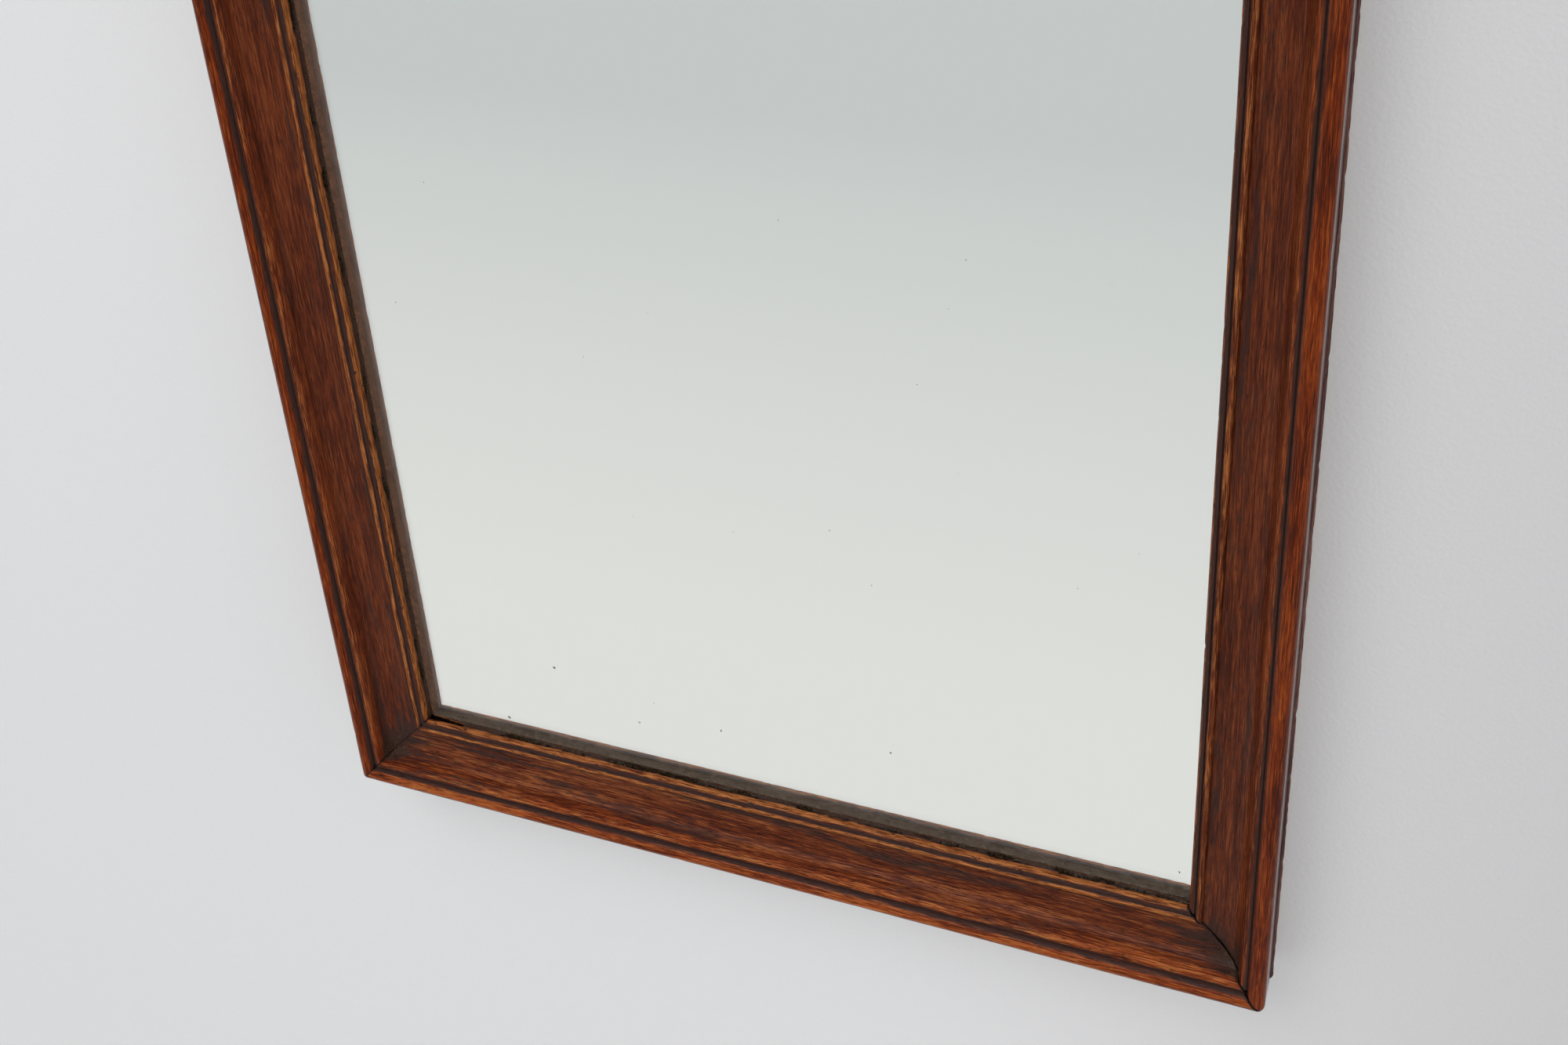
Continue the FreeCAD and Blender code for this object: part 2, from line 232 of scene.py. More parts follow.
seen_haze = add_node(tree, "ShaderNodeMath", {0: haze.outputs[0], 1: ray.outputs["Is Camera Ray"]},
                     operation="MULTIPLY")
distance = add_node(tree, "ShaderNodeEmission", {"Color": linear(ROOM), "Strength": 1})
faded = add_node(tree, "ShaderNodeMixShader", {0: seen_haze.outputs[0], 1: surface.outputs[0],
                                               2: distance.outputs[0]})
either = add_node(tree, "ShaderNodeMixShader", {0: bounced.outputs[0], 1: faded.outputs[0],
                                                2: mirrored.outputs[0]})
add_node(tree, "ShaderNodeOutputMaterial", {"Surface": either.outputs[0]})
bm = bmesh.new()
bmesh.ops.create_grid(bm, x_segments=1, y_segments=1, size=3 * WALL_REACH)
bmesh.ops.translate(bm, verts=bm.verts, vec=(0, 0, FLOOR_Z))
floor = link_mesh("floor", bm, floor_paint)
print("floor at", FLOOR_Z, "m")

# %% [markdown]
# ## Lamps
# The shadows are soft and short, so the main lamp is large. It hangs high in front of the wall and a
# little to the left, as a window would. A small bright lamp would draw hard shadows instead. A weaker lamp
# on the right keeps the outer side of the right stile alive, and one behind lights the back for the other
# views.

# %% Hang the lamps
LOOK_AT = Vector((0, 0, -0.45))
# name, place in m, size in m, power in W, tint
lamps = (
    ("window_lamp", (-0.6, -2.6, 2.4), 3.5, 78, "#fffdfb"),
    ("right_lamp", (2.2, -0.6, 0.4), 1.6, 10, "#f8f8ff"),
    ("back_lamp", (-1.2, 2.0, 0.9), 1.5, 25, "#ffffff"),
)
for name, place, size, power, tint in lamps:
    lamp = bpy.data.lights.new(name, "AREA")
    lamp.shape = "DISK"
    lamp.size = size
    lamp.energy = power
    lamp.color = linear(tint)[:3]
    hung = bpy.data.objects.new(name, lamp)
    aim = (LOOK_AT - Vector(place)).to_track_quat("-Z", "Y").to_matrix().to_4x4()
    hung.matrix_world = Matrix.Translation(place) @ aim
    scene.collection.objects.link(hung)
print(len(lamps), "lamps, brightest", max(lamp[3] for lamp in lamps), "W")

# %% [markdown]
# ## World
# The rest of the room sends a little cool light from all round. A picture of a room could be wrapped round
# the scene, but then the glass would show it. So the world is plain: a fill for the shadows, and the room
# colour where the camera or the mirror looks straight at it.

# %% Light the world
FILL = 0.78
world = bpy.data.worlds.new("pale_room")
world.use_nodes = True
scene.world = world
tree = world.node_tree
tree.nodes.clear()
ray = add_node(tree, "ShaderNodeLightPath")
fill = add_node(tree, "ShaderNodeBackground", {"Color": linear("#f2f3f6"), "Strength": FILL})
shown = add_node(tree, "ShaderNodeBackground", {"Color": linear(ROOM), "Strength": 1})
seen = add_node(tree, "ShaderNodeMath", {0: ray.outputs["Is Camera Ray"], 1: ray.outputs["Is Glossy Ray"]},
                operation="MAXIMUM")
either = add_node(tree, "ShaderNodeMixShader", {0: seen.outputs[0], 1: fill.outputs[0],
                                                2: shown.outputs[0]})
add_node(tree, "ShaderNodeOutputWorld", {"Surface": either.outputs[0]})
print("world fill", FILL)

# %% [markdown]
# ## Grain
# Oak has long streaks of lighter and darker wood, with short dark pores that run the same way. A wave
# texture would draw them too evenly, and an image would repeat. So each kind of mark is a noise of its own,
# stretched along the grain and drawn to a real width and length.

# %% Draw the grain
# name: width and length of the pattern in mm, detail, offset. Oak's pores are some 0.2 mm wide, too fine
# to show here, so they are drawn at twice that.
GRAIN = {
    "patch": (13, 70, 2, 3),
    "band": (4.5, 120, 3, 0),
    "streak": (1.2, 38, 3, 17),
    "fibre": (0.6, 14, 4, 31),
    "pore": (0.4, 7, 2, 57),
    "fleck": (2.2, 13, 4, 83),
    "speck": (1.3, 1.3, 4, 97),
}
AXES = {"upright": 2, "level": 0}


def grain_patterns(tree, lie):
    place = add_node(tree, "ShaderNodeTexCoord").outputs["Object"]
    patterns = {}
    for name, (width, length, detail, offset) in GRAIN.items():
        stretch = [1 / (width * MM)] * 3
        stretch[AXES[lie]] = 1 / (length * MM)
        spread = add_node(tree, "ShaderNodeMapping", {"Vector": place, "Location": [offset] * 3,
                                                      "Scale": stretch})
        cloud = add_node(tree, "ShaderNodeTexNoise", {"Vector": spread.outputs[0], "Scale": 1,
                                                      "Detail": detail, "Roughness": 0.6})
        patterns[name] = cloud.outputs[0]
    return patterns


print("grain patterns:", ", ".join(GRAIN))

# %% [markdown]
# ## Colours of the oak
# One stain shows in three ways: deep brown on the broad face, redder on the raised parts, and worn through
# to tan wood along the rubbed lines. A single colour, made lighter and darker, would look like paint. So
# each is a ramp of colours, from its darkest streak to its palest. The rails took the stain less evenly
# than the stiles.

# %% Choose the colours of the oak
def fill_ramp(ramp, stops):
    while len(ramp.elements) < len(stops):
        ramp.elements.new(1)
    for element, (position, hex_code) in zip(ramp.elements, stops):
        element.position = position
        element.color = linear(hex_code)


# the stained face, the redder stain on the raised parts, and the bare wood of the rubbed lines
STAIN = {
    "upright": ((0.42, "#3b180b"), (0.48, "#512312"), (0.52, "#5f2b15"), (0.58, "#733a1d")),
    "level": ((0.42, "#371409"), (0.48, "#582612"), (0.52, "#6e361b"), (0.58, "#8d522c")),
}
AMBER = {
    "upright": ((0.42, "#3c1205"), (0.48, "#5e2207"), (0.52, "#702c09"), (0.58, "#883f13")),
    "level": ((0.42, "#481a08"), (0.48, "#723011"), (0.52, "#8a421b"), (0.58, "#a45b2b")),
}
BARE = {
    "upright": ((0.38, "#4b230e"), (0.47, "#7f441f"), (0.58, "#a06335")),
    "level": ((0.38, "#4f260f"), (0.47, "#864923"), (0.58, "#aa6c3b")),
}
# the dark of the hollows is partly wax and partly painted shade; the near black is painted shade in
# crevices and gaps
WAX_AND_SHADE, DEEP_SHADE, POWDER, PORE = "#38241f", "#0c0907", "#524331", "#1c0d08"
print("stain on a rail:", [hex_code for _, hex_code in STAIN["level"]])

# %% [markdown]
# ## Stained oak
# The mouldings were stained dark and varnished, then rubbed for a century. Hands and cloths wore the high
# lines through to the tan wood, and black wax gathered in the hollows. The hollows, crevices and gaps are
# darkened further as painted shade, near black where deepest. Geometry's Pointiness could find edges and
# hollows, but it changes with the mesh and knows no difference between the sides. So the amount of wear,
# wax and painted shade, warmth and dust is stored on the mesh, and here the grain frays its edges.

# %% Make the oak finishes
# how dark the pores are: on the stiles they are filled with more wax
PORES = {"upright": 0.6, "level": 0.85}
# mark: how ragged its edge is, and the grain that frays it
RAGGED = {"warm": (0.8, "fibre"), "wear": (2.0, "fibre"), "grime_and_shade": (1.5, "fleck"), "dust": (1.4, "speck")}


# Stained and varnished oak, hand rubbed: a deep red brown with a dull shine, bare tan on the high lines,
# and black in the hollows, partly dry wax and partly painted shade. The varnish has gone thin, so it shines
# only at a flat angle, except on the outermost line, which hands have polished.
def stained_oak(lie):
    finish, tree = new_finish("stained_oak_" + lie)
    grain = grain_patterns(tree, lie)
    tone = 0.0
    for name, share in (("patch", 0.16), ("band", 0.2), ("streak", 0.24), ("fibre", 0.4)):
        tone = add_node(tree, "ShaderNodeMath", {0: grain[name], 1: share, 2: tone},
                        operation="MULTIPLY_ADD").outputs[0]
    face = add_node(tree, "ShaderNodeValToRGB", {0: tone})
    fill_ramp(face.color_ramp, STAIN[lie])
    amber = add_node(tree, "ShaderNodeValToRGB", {0: tone})
    fill_ramp(amber.color_ramp, AMBER[lie])
    bare = add_node(tree, "ShaderNodeValToRGB", {0: grain["fibre"]})
    fill_ramp(bare.color_ramp, BARE[lie])

    marks = {}
    for name, (rough_edge, pattern) in RAGGED.items():
        stored = add_node(tree, "ShaderNodeAttribute", attribute_name=name).outputs["Fac"]
        frayed = add_node(tree, "ShaderNodeMath", {0: grain[pattern], 1: rough_edge, 2: -rough_edge / 2},
                          operation="MULTIPLY_ADD").outputs[0]
        total = add_node(tree, "ShaderNodeMath", {0: stored, 1: frayed}, operation="ADD").outputs[0]
        marks[name] = add_node(tree, "ShaderNodeMapRange", {0: total, 1: 0.25, 2: 0.9},
                               interpolation_type="SMOOTHSTEP").outputs[0]
        if name == "grime_and_shade":
            # painted shade: where the mark runs deepest it turns near black
            marks["deep_shade"] = add_node(tree, "ShaderNodeMapRange", {0: total, 1: 1.6, 2: 2.1}).outputs[0]

    colour = face.outputs[0]
    layers = (("warm", amber.outputs[0]), ("wear", bare.outputs[0]), ("grime_and_shade", linear(WAX_AND_SHADE)),
              ("deep_shade", linear(DEEP_SHADE)), ("dust", linear(POWDER)))
    for name, coat in layers:
        mixed = add_node(tree, "ShaderNodeMix", {FACTOR: marks[name], COLOUR_A: colour, COLOUR_B: coat},
                         data_type="RGBA")
        colour = mixed.outputs[COLOUR_OUT]
    hole = add_node(tree, "ShaderNodeMapRange", {0: grain["pore"], 1: 0.56, 2: 0.65, 3: 0.0, 4: PORES[lie]})
    pored = add_node(tree, "ShaderNodeMix", {FACTOR: hole.outputs[0], COLOUR_A: colour,
                                             COLOUR_B: linear(PORE)}, data_type="RGBA")
    gloss = add_node(tree, "ShaderNodeMapRange", {0: marks["wear"], 3: 0.26, 4: 0.5})
    dip = add_node(tree, "ShaderNodeMath", {0: grain["fibre"], 1: hole.outputs[0]}, operation="SUBTRACT")
    bump = add_node(tree, "ShaderNodeBump", {"Strength": 0.35, "Distance": 0.25 * MM,
                                             "Height": dip.outputs[0]})
    polish = add_node(tree, "ShaderNodeAttribute", attribute_name="polish").outputs["Fac"]
    varnish = add_node(tree, "ShaderNodeBsdfPrincipled", {
        "Base Color": pored.outputs[COLOUR_OUT], "Roughness": gloss.outputs[0], "Specular IOR Level": 0.08,
        "Normal": bump.outputs[0], "Coat Weight": polish, "Coat Roughness": 0.25, "Coat IOR": 1.5,
        "Coat Tint": linear("#fff2ec")})
    add_node(tree, "ShaderNodeOutputMaterial", {"Surface": varnish.outputs[0]})
    return finish


oak = {lie: stained_oak(lie) for lie in AXES}
print("oak finishes:", [finish.name for finish in oak.values()])

# %% [markdown]
# ## Section of the moulding
# Each side of the frame is one length of moulding, run with planes and mitred at 45 degrees. It could be
# the CAD solid with a bump map, but its worn lines, chips and broken lip show on the outline. So it is
# modelled again from its section: a wire with a few corners, whose runs are cut up and bulged into rounds
# and hollows.

# %% Draw the section
# out from the sight edge, height above the back, bulge and cuts of the run that leads there, all in mm,
# then wear, grime with painted shade, warmth and dust at that corner
SECTION = (
    (0.0, 11.0, 0, 0, 0.0, 0.7, 0.0, 0.5),
    (0.0, 13.4, 0, 3, 0.0, 1.4, 0.0, 0.45),
    (0.0, 14.6, 0, 2, 0.0, 1.3, 0.0, 0.2),
    (0.0, 15.5, 0, 2, 0.4, 0.5, 0.0, 0.0),
    (0.0, 16.0, 0, 1, 0.9, 0.1, 0.0, 0.0),
    (0.75, 18.95, 0.3, 5, 1.0, 0.0, 0.3, 0.0),
    (1.84, 19.85, 0.075, 3, 0.2, 0.8, 0.1, 0.0),
    (3.4, 20.4, 0.075, 3, 0.0, 1.1, 0.0, 0.0),
    (3.9, 19.7, 0, 2, 0.0, 1.1, 0.0, 0.1),
    (4.4, 20.4, 0, 2, 0.1, 0.8, 0.0, 0.0),
    (5.25, 21.08, 0.056, 3, 0.9, 0.0, 0.1, 0.0),
    (6.1, 21.3, 0.056, 3, 0.95, 0.0, 0.2, 0.0),
    (7.8, 20.4, 0.22, 4, 0.65, 0.1, 0.2, 0.0),
    (8.4, 18.7, 0, 3, 0.0, 0.45, 0.0, 0.0),
    (26.6, 21.0, -1.4, 18, 0.0, 0.15, 0.1, 0.1),
    (31.6, 27.8, -1.0, 8, 0.0, 0.15, 0.45, 0.1),
    (33.4, 31.6, 0, 4, 0.25, 0.05, 0.8, 0.0),
    (35.2, 32.9, 0.3, 4, 0.5, 0.0, 0.9, 0.0),
    (36.6, 33.1, 0, 3, 0.05, 0.65, 0.5, 0.0),
    (37.4, 33.2, 0, 2, 0.0, 1.2, 0.1, 0.0),
    (37.9, 32.8, 0, 2, 0.0, 1.2, 0.0, 0.1),
    (38.95, 35.06, 0.1, 3, 0.0, 0.8, 0.4, 0.0),
    (40.25, 36.44, 0.075, 3, 0.05, 0.0, 0.9, 0.0),
    (43.6, 37.8, 0.24, 6, 0.2, 0.0, 0.9, 0.0),
    (48.0, 30.0, 2.0, 10, 0.0, 0.0, 0.9, 0.0),
    # painted shade: the two corners below darken the quirk under the nosing to near black
    (46.4, 15.0, 0, 8, 0.0, 1.3, 0.3, 0.0),
    (44.6, 11.0, 0.6, 4, 0.0, 2.6, 0.0, 0.0),
)
MARKS = ("wear", "grime_and_shade", "warm", "dust", "polish")


def draw_section(bm):
    layers = [bm.verts.layers.float.new(name) for name in MARKS]
    for out, height, _, _, *finish in SECTION:
        corner = bm.verts.new((-1, out, height))
        for layer, value in zip(layers, finish):
            corner[layer] = value
    for index, (_, _, bulge, parts, *_) in enumerate(SECTION):
        # a cut makes earlier references stale, while the corners keep their places
        bm.verts.ensure_lookup_table()
        start, end = bm.verts[(index - 1) % len(SECTION)], bm.verts[index]
        a, b = start.co.copy(), end.co.copy()
        edge = bm.edges.new((start, end))
        if parts:
            cut = bmesh.ops.subdivide_edges(bm, edges=[edge], cuts=parts)
            chord = b - a
            square = Vector((0, -chord.z, chord.y)).normalized()
            for v in cut["geom_inner"]:
                if isinstance(v, bmesh.types.BMVert):
                    t = (v.co - a).dot(chord) / chord.length_squared
                    v.co += square * 4 * bulge * t * (1 - t)


bm = bmesh.new()
draw_section(bm)
print("section of", len(SECTION), "corners,", len(bm.verts), "points")
bm.free()

# %% [markdown]
# ## Run of the moulding
# A moulding plane gives every length of wood the same section, and an extrude does that here. A curve with
# a bevel profile could do it too, but its mitres would be made for it and couldn't open. The run goes from
# -1 to 1, so that it can be fanned out to the mitres later, and is cut into many columns, which gives the
# wear points to move.

# %% Run the section
def run_section(bm, columns):
    drawn = bmesh.ops.extrude_edge_only(bm, edges=bm.edges[:])
    far = [v for v in drawn["geom"] if isinstance(v, bmesh.types.BMVert)]
    bmesh.ops.translate(bm, verts=far, vec=(2, 0, 0))
    lengthwise = [e for e in bm.edges if abs(e.verts[0].co.x - e.verts[1].co.x) > 1]
    bmesh.ops.subdivide_edges(bm, edges=lengthwise, cuts=columns, use_grid_fill=True)
    ends = bmesh.ops.holes_fill(bm, edges=[e for e in bm.edges if e.is_boundary])
    return len(ends["faces"])


bm = bmesh.new()
draw_section(bm)
print("a run has", run_section(bm, 10), "closed ends and", len(bm.faces), "faces")
bm.free()

# %% [markdown]
# ## Broken lip
# The lip below the bead holds the glass. It is gouged, most of all along the bottom, and a length of it is
# broken out at the bottom left. A boolean could cut that out, but would leave clean edges. So noise pushes
# the points of the lip inwards, and the torn edge climbs along the break to nothing, pale along its rim.
# The gouges are darkened by their depth and the broken-out pocket is painted black, as painted shade.

# %% Break the lip
def cloud(*place):
    return noise.noise(Vector(place))


# in mm: the height of the foot of the lip above the back
LIP_FOOT = 11.4
# the noise above which a lip is gouged, and how deep: along the bottom it is gouged nearly everywhere
GOUGED, GOUGED_BOTTOM, RAGGED_LIP = (0.02, 3.5), (-0.14, 4.9), 0.4
# length of lip that is broken out, how deep, how far the torn edge climbs along it, and its pale edge
BROKEN_LIP, BROKEN_DEPTH, TORN_CLIMB, SPLINTER = 26.0, 6.0, 2.6, 0.7


def gouge_lip(side, seed, half, run, height, v, layers):
    wear, grime_and_shade, _, dust, _ = layers
    hollow = cloud(run / 15, height / 9, seed + 41)
    spared, depth = GOUGED
    if side == "bottom":
        hollow += RAGGED_LIP * cloud(run / 4, height / 5, seed + 45)
        spared, depth = GOUGED_BOTTOM
    gouge = depth * max(0, hollow - spared)
    broken = BROKEN_LIP - (run + half) if side == "bottom" else 0
    torn = LIP_FOOT
    if broken > 0:
        torn += TORN_CLIMB * (1 - broken / BROKEN_LIP) + 0.5 * cloud(run / 3, seed, 5.1)
        gouge = BROKEN_DEPTH * min(1, broken / 8) * (0.8 + 0.4 * cloud(run / 2.5, height / 2, seed))
        if height > torn:
            # painted shade: the broken-out pocket is painted black
            v[wear], v[grime_and_shade], v[dust] = 0, 4, 0
        elif height > torn - SPLINTER:
            v[wear], v[grime_and_shade], v[dust] = 0.7, 0.3, 0
    if height <= torn:
        return 0
    # painted shade: each gouge is darkened by its depth
    v[grime_and_shade] += 1.2 * gouge
    return gouge


print("the bottom lip is broken out over", BROKEN_LIP, "mm")

# %% [markdown]
# ## Rounded corners
# The outer corners of the frame have been knocked round. A bevel would round them too, but a mitre runs
# through each corner and splits its edge between two pieces. So on both pieces the points past the start of
# the round are drawn in towards its middle.

# %% Round the corners
MOULDING = 48.0
CORNER_ROUND = 3.5


def round_corner(half, run, out):
    over_run = abs(run) - (half + MOULDING - CORNER_ROUND)
    over_out = out - (MOULDING - CORNER_ROUND)
    if over_run > 0 and over_out > 0:
        draw = max(over_run, over_out) / math.hypot(over_run, over_out)
        run = math.copysign(half + MOULDING - CORNER_ROUND + over_run * draw, run)
        out = MOULDING - CORNER_ROUND + over_out * draw
    return run, out


print("a corner point moves from 300, 48 to", [round(c, 1) for c in round_corner(252, 300, 48)])

# %% [markdown]
# ## Wear
# Noise at a few sizes moves each vertex: a slow wander of the planed lines, bites along the high lines,
# chips in the sight bead and nicks in the nosing. The same numbers lower the finish: a bite shows bare
# wood, a chip is dark. Long dark streaks run over the face. The mitres gather wax and dust, and the bottom
# right one has opened, its gap painted black as shade. Sculpting by hand would give each mark its own
# shape, but noise can be changed by one number and never repeats.

# %% Wear the mouldings down
# how far a mitre has opened, by side and end of the run
OPEN_ENDS = {("bottom", 1): 0.95, ("right", -1): 0.75}
# how far the high lines are rubbed bare, and how amber the stain is, on each side
RUBBED = {"bottom": (1.0, 1.0), "right": (0.5, 0.55), "top": (0.9, 0.9), "left": (0.95, 0.7)}
# how strong the dark streaks on the face are
STAINED = {"bottom": 1.6, "right": 0.6, "top": 1.3, "left": 0.9}
# in mm: heights above the back and distances out from the sight edge
FRONT, LIP_TOP = 14, 15.8
BEAD, FACE, QUIRK, NOSING, NOSING_LOW = 3.6, (9, 36), 37.5, 41, 24
POLISHED_OUT, POLISHED, POLISH = 46.2, (22, 32), 0.7


def weather(side, seed, half, v, layers):
    wear, grime_and_shade, warm, dust, polish = layers
    t, out, height = v.co
    gap = OPEN_ENDS.get((side, 1 if t > 0 else -1), 0)
    gap *= 0.45 + 0.6 * out / MOULDING + 0.35 * cloud(out / 9, seed, 3.7)
    run = t * (half + out - gap)
    to_mitre = max(0, half + out - abs(run))
    v[polish] = POLISH if out > POLISHED_OUT and POLISHED[0] < height < POLISHED[1] else 0

    # the high lines are rubbed bare along some lengths, with small bites out of them
    rubbed, glow = RUBBED[side]
    high = v[wear] * rubbed
    worn = high * (1 + 0.9 * cloud(run / 42, out / 6, seed))
    worn += 0.25 * high * cloud(run / 9, out / 3, seed + 4)
    bite = high * max(0, cloud(run / 6, out / 4, seed + 9) - 0.1) * 0.8
    height -= bite
    v[wear] = (worn + 0.3 * bite) * (1 - 0.5 * math.exp(-to_mitre / 18))

    # the lip under the bead is gouged, the bead chipped and the nosing nicked
    if out < 0.5 and height < LIP_TOP:
        out += gouge_lip(side, seed, half, run, height, v, layers)
    elif out < BEAD and height > FRONT:
        chip = max(0, cloud(run / 4.5, height / 3, seed + 13) - 0.4)
        height -= 1.6 * chip
        out += 1.4 * chip
        v[grime_and_shade] += 2.2 * chip
    if out > NOSING and height > NOSING_LOW:
        nick = max(0, cloud(run / 11, height / 4, seed + 17) - 0.42)
        out -= 1.0 * nick
        height -= 0.7 * nick
        v[grime_and_shade] += 1.3 * nick

    # the stain has darkened in long streaks, and its warmth comes and goes
    if FACE[0] < out < FACE[1]:
        v[grime_and_shade] += min(0.42, STAINED[side] * max(0, cloud(run / 60, out / 4, seed + 51) - 0.1))
    v[grime_and_shade] *= 1 + 0.35 * cloud(run / 30, out / 5, seed + 21)
    v[warm] *= (glow if out < QUIRK else 1) * (1 + 0.5 * cloud(run / 55, out / 5, seed + 25))

    # the mitres gather wax and dust, and an open one is painted black, as shade in its gap
    if height > FRONT:
        pinch = math.exp(-to_mitre / 0.7)
        height -= 0.25 * pinch
        v[grime_and_shade] += (3.0 if gap else 0.9) * pinch
        hollow = v[dust]
        v[dust] = hollow * (0.8 + 4 * math.exp(-to_mitre / 13))
        v[grime_and_shade] += hollow * 9 * math.exp(-to_mitre / 17)

    # no planed line is quite straight
    out += 0.16 * cloud(run / 80, out / 30, seed + 29) + 0.06 * cloud(run / 17, out / 8, seed + 33)
    height += 0.14 * cloud(run / 95, out / 30, seed + 37) if height > FRONT else 0
    run, out = round_corner(half, run, out)
    return run, out, height


print("opened mitres:", OPEN_ENDS)

# %% [markdown]
# ## The four mouldings
# Each side is drawn, run and worn in its own coordinates: along the run, out from the sight edge, and up
# from the back. One moulding could be copied and turned three times, but then all four would wear alike. So
# each gets noise of its own and is laid in place at the end.

# %% Make the mouldings
SIGHT_HALF_WIDTH, SIGHT_HALF_HEIGHT, CENTRE_Z = 252.0, 402.0, -290.0
# direction of the run, direction out from the opening, sight edge from the centre, half the sight edge
SIDES = {
    "bottom": (Vector((1, 0, 0)), Vector((0, 0, -1)), SIGHT_HALF_HEIGHT, SIGHT_HALF_WIDTH),
    "right": (Vector((0, 0, 1)), Vector((1, 0, 0)), SIGHT_HALF_WIDTH, SIGHT_HALF_HEIGHT),
    "top": (Vector((-1, 0, 0)), Vector((0, 0, 1)), SIGHT_HALF_HEIGHT, SIGHT_HALF_WIDTH),
    "left": (Vector((0, 0, -1)), Vector((-1, 0, 0)), SIGHT_HALF_WIDTH, SIGHT_HALF_HEIGHT),
}
# length of a column of the mesh: shorter where the eye is nearest
COLUMN = {"bottom": 1.1, "right": 1.5, "top": 1.5, "left": 1.5}


def make_moulding(side, seed):
    along, outward, distance, half = SIDES[side]
    bm = bmesh.new()
    draw_section(bm)
    run_section(bm, round(2 * half / COLUMN[side]))
    layers = [bm.verts.layers.float[name] for name in MARKS]
    for v in bm.verts:
        run, out, height = weather(side, seed, half, v, layers)
        v.co = MM * (run * along + (distance + out) * outward + Vector((0, -height, CENTRE_Z)))
    bmesh.ops.recalc_face_normals(bm, faces=bm.faces)
    piece = link_mesh("worn_" + side + "_moulding", bm, oak["level" if along.x else "upright"])
    piece.data.shade_smooth()
    piece.data.set_sharp_from_angle(angle=math.radians(50))
    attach(piece, "frame")
    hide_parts(side + "_moulding")
    return piece


for number, side in enumerate(SIDES):
    piece = make_moulding(side, 10.3 * (number + 1))
    print(piece.name, "has", sum(len(p.vertices) - 2 for p in piece.data.polygons), "triangles")

# %% [markdown]
# ## Glass
# The mirror is a sheet of clear glass with silver on its back, and the silver is what reflects. One shiny
# sheet would do from afar, but the 4 mm of glass is what sets the reflection of the lip back from the lip.
# So the glass has a finish of its own, and a film along the lip lies on that, in front of the silver: dirt,
# coloured as a painted reflection of the lip.

# %% Make the glass finish
# in mm, but for the density
FILM_WIDTH, FILM_DENSITY, SMEAR = 8, 0.68, 3
SIGHT_FOOT = CENTRE_Z - SIGHT_HALF_HEIGHT

# Clear polished glass, flat and without colour. What shows is the bright reflection behind it, and at the
# left and bottom lip a film of old polish and dust that dulls the last few millimetres. Its browns, warmer
# at the left than at the bottom, are a painted reflection of the lip, and lighten the dark band along it.
glass, tree = new_finish("clear_polished_glass")
sheet = add_node(tree, "ShaderNodeBsdfPrincipled", {
    "Base Color": linear("#fdfefd"), "Roughness": 0.0, "IOR": 1.52, "Transmission Weight": 0.985})
spot = add_node(tree, "ShaderNodeTexCoord").outputs["Object"]
place = add_node(tree, "ShaderNodeSeparateXYZ", {0: spot})
to_side = add_node(tree, "ShaderNodeMath", {0: place.outputs["X"], 1: SIGHT_HALF_WIDTH * MM},
                   operation="ADD").outputs[0]
to_end = add_node(tree, "ShaderNodeMath", {0: place.outputs["Z"], 1: -SIGHT_FOOT * MM},
                  operation="ADD").outputs[0]
to_lip = add_node(tree, "ShaderNodeMath", {0: to_side, 1: to_end}, operation="MINIMUM")
at_side = add_node(tree, "ShaderNodeMath", {0: to_side, 1: to_end}, operation="LESS_THAN")
film_tint_and_lip_reflection = add_node(tree, "ShaderNodeMix", {FACTOR: at_side.outputs[0], COLOUR_A: linear("#776859"),
                                          COLOUR_B: linear("#85614d")}, data_type="RGBA")
film = add_node(tree, "ShaderNodeBsdfPrincipled", {"Base Color": film_tint_and_lip_reflection.outputs[COLOUR_OUT],
                                                   "Roughness": 0.9, "Specular IOR Level": 0.0})
film_near_lip = add_node(tree, "ShaderNodeMapRange", {0: to_lip.outputs[0], 1: 0.0, 2: FILM_WIDTH * MM,
                                             3: FILM_DENSITY, 4: 0.0})
smear = add_node(tree, "ShaderNodeTexNoise", {"Vector": spot, "Scale": 1 / (SMEAR * MM), "Detail": 5})
patchy = add_node(tree, "ShaderNodeMapRange", {0: smear.outputs[0], 1: 0.35, 2: 0.65, 3: 0.7, 4: 1.25})
cover = add_node(tree, "ShaderNodeMath", {0: film_near_lip.outputs[0], 1: patchy.outputs[0]}, operation="MULTIPLY")
filmed = add_node(tree, "ShaderNodeMixShader", {0: cover.outputs[0], 1: sheet.outputs[0],
                                                2: film.outputs[0]})
add_node(tree, "ShaderNodeOutputMaterial", {"Surface": filmed.outputs[0]})
print(glass.name, "with a film", FILM_WIDTH, "mm wide along the lip")

# %% [markdown]
# ## Silvering
# Silver was laid on the back of the glass from a solution, and damp has since eaten specks through it.
# They could be small dark discs, set one by one. A Voronoi texture scatters them instead, gives each cell
# its own size of speck, and can keep most of them near the bottom.

# %% Make the silvering finish
# in mm
SPECK_SPACING, SPECK_FRAY = 19, 0.8

